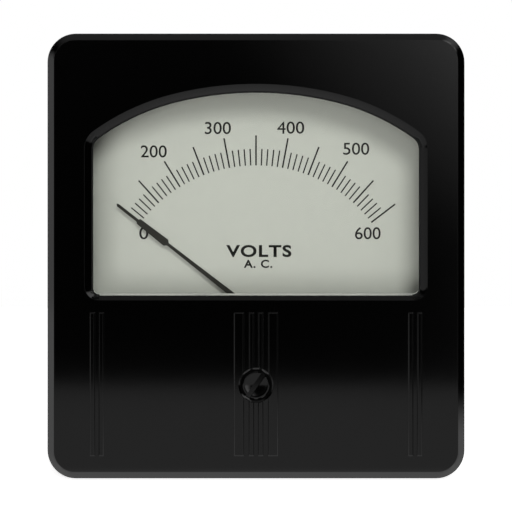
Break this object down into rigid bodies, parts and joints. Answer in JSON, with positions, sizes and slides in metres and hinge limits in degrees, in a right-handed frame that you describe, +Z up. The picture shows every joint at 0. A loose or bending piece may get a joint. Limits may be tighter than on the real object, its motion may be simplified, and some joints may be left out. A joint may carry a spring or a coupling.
{
  "type": "analog panel meter",
  "caption": "Flush-mounting analog panel meter: black moulded case, arched window, pale dial with a pointer, slotted zero adjuster, round barrel with studs and terminals behind.",
  "frame": {"origin": "centre of the case outline on the panel's surface, where the flange's back sits", "axes": "+X to the viewer's right, +Z up the face, +Y into the panel, so the face looks along -Y"},
  "size_m": [0.0952, 0.0951, 0.1016],
  "materials": {
    "black_phenolic": "moulded gloss black phenolic",
    "base_phenolic": "moulded black phenolic, satin from the tool",
    "clear_pane": "polished clear pane with a bevelled arris",
    "seal_rubber": "black cord rubber",
    "dial_enamel": "pale grey-green stove enamel on aluminium sheet",
    "pointer_black": "black lacquer on aluminium sheet",
    "brass": "machined brass",
    "nickel_brass": "nickel-plated brass",
    "plated_steel": "zinc-plated steel",
    "staff_steel": "ground hardened steel",
    "soft_iron": "annealed soft iron",
    "spring_bronze": "rolled phosphor-bronze strip",
    "sheet_aluminium": "plain rolled aluminium sheet",
    "coil_copper": "enamelled copper wire",
    "brown_phenolic": "moulded brown phenolic",
    "resistance_wire": "varnished resistance wire",
    "red_fibre": "vulcanised fibre",
    "lead_sleeve": "varnished cotton sleeve"
  },
  "bodies": {
    "case": {"front_cover": "black_phenolic", "window_gasket": "seal_rubber", "window_pane": "clear_pane", "window_clips": "plated_steel", "window_clip_screws": "plated_steel", "front_bridge": "brass", "pointer_stops": "brass", "bridge_pillars": "brass", "bridge_screws": "plated_steel", "front_jewel_screw": "brass", "front_jewel_nut": "brass", "rear_jewel_screw": "brass", "rear_jewel_nut": "brass", "dial_plate": "dial_enamel", "dial_screws": "plated_steel", "movement_frame": "brass", "frame_screws": "plated_steel", "frame_posts": "brass", "coil_bobbin": "brown_phenolic", "coil_winding": "coil_copper", "fixed_iron": "soft_iron", "damping_chamber": "sheet_aluminium", "damping_lid": "sheet_aluminium", "rear_bridge": "brass", "rear_pillars": "brass", "rear_bridge_screws": "plated_steel", "base": "base_phenolic", "base_flange": "base_phenolic", "case_screws": "plated_steel", "mounting_studs": "plated_steel", "terminal_studs": "nickel_brass", "terminal_tags": "nickel_brass", "terminal_washers": "nickel_brass", "terminal_nuts": "nickel_brass", "resistor_spool": "brown_phenolic", "resistor_winding": "resistance_wire", "resistor_screw": "plated_steel", "supply_lead": "lead_sleeve", "series_lead": "lead_sleeve", "return_lead": "lead_sleeve"},
    "moving_system": {"staff": "staff_steel", "pointer": "pointer_black", "pointer_hub": "brass", "balance_weight": "brass", "hairspring": "spring_bronze", "hairspring_collet": "brass", "moving_iron": "soft_iron", "damping_vane": "sheet_aluminium"},
    "adjuster": {"zero_adjuster": "black_phenolic", "adjuster_washer": "red_fibre", "adjuster_clip": "plated_steel"},
    "zero_lever": {"zero_arm": "brass"}
  },
  "joints": [
    {"name": "pointer_swing", "type": "hinge", "parent": "case", "child": "moving_system", "pos_m": [0, 0, -0.01367], "axis": [0, 1, 0], "range_deg": [-3, 107], "stiffness_Nm_per_rad": 0.000012, "deforming": ["hairspring"]},
    {"name": "adjuster_turn", "type": "hinge", "parent": "case", "child": "adjuster", "pos_m": [0, 0, -0.02935], "axis": [0, 1, 0], "range_deg": [-90, 90]},
    {"name": "zero_arm_swing", "type": "hinge", "parent": "case", "child": "zero_lever", "pos_m": [0, 0, -0.01367], "axis": [0, 1, 0], "range_deg": [-6, 6], "deforming": ["hairspring"]}
  ],
  "couplings": [
    {"joint": "zero_arm_swing", "follows": "adjuster_turn", "ratio": 0.06}
  ]
}
